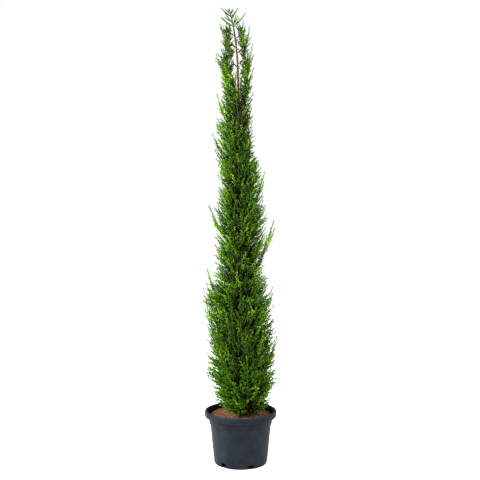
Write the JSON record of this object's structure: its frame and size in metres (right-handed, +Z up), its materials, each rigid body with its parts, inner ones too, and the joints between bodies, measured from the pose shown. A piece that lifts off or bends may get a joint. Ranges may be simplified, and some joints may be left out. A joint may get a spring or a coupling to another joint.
{
  "type": "potted italian cypress tree",
  "caption": "Young columnar italian cypress with dense feathery green foliage, growing in a round black plastic nursery pot filled with soil.",
  "frame": {"origin": "centre of the pot's flat underside, on the surface the pot stands on", "axes": "+Z up along the tree; +X to the right of the front view and -Y towards the front"},
  "size_m": [0.3426, 0.332, 2.091],
  "materials": {
    "foliage": "matt green scale leaves",
    "bark": "matt reddish brown bark",
    "pot_plastic": "satin black moulded plastic",
    "soil": "rough brown bark and peat compost"
  },
  "bodies": {
    "root": {"bough_1_1": "bark", "bough_1_2": "bark", "bough_1_3": "bark", "bough_1_4": "bark", "bough_1_5": "bark", "bough_2_1": "bark", "bough_2_2": "bark", "bough_2_3": "bark", "bough_2_4": "bark", "bough_2_5": "bark", "bough_3_1": "bark", "bough_3_2": "bark", "bough_3_3": "bark", "bough_3_4": "bark", "bough_4_1": "bark", "bough_4_2": "bark", "bough_4_3": "bark", "bough_4_4": "bark", "bough_5_1": "bark", "bough_5_2": "bark", "bough_6_1": "bark", "bough_6_2": "bark", "foliage_1_1": "foliage", "foliage_1_2": "foliage", "foliage_1_3": "foliage", "foliage_1_4": "foliage", "foliage_1_5": "foliage", "foliage_2_1": "foliage", "foliage_2_2": "foliage", "foliage_2_3": "foliage", "foliage_2_4": "foliage", "foliage_2_5": "foliage", "foliage_3_1": "foliage", "foliage_3_2": "foliage", "foliage_3_3": "foliage", "foliage_3_4": "foliage", "foliage_4_1": "foliage", "foliage_4_2": "foliage", "foliage_4_3": "foliage", "foliage_4_4": "foliage", "foliage_5_1": "foliage", "foliage_5_2": "foliage", "foliage_6_1": "foliage", "foliage_6_2": "foliage", "foliage_tip": "foliage", "pot": "pot_plastic", "soil": "soil", "trunk": "bark"}
  },
  "joints": []
}
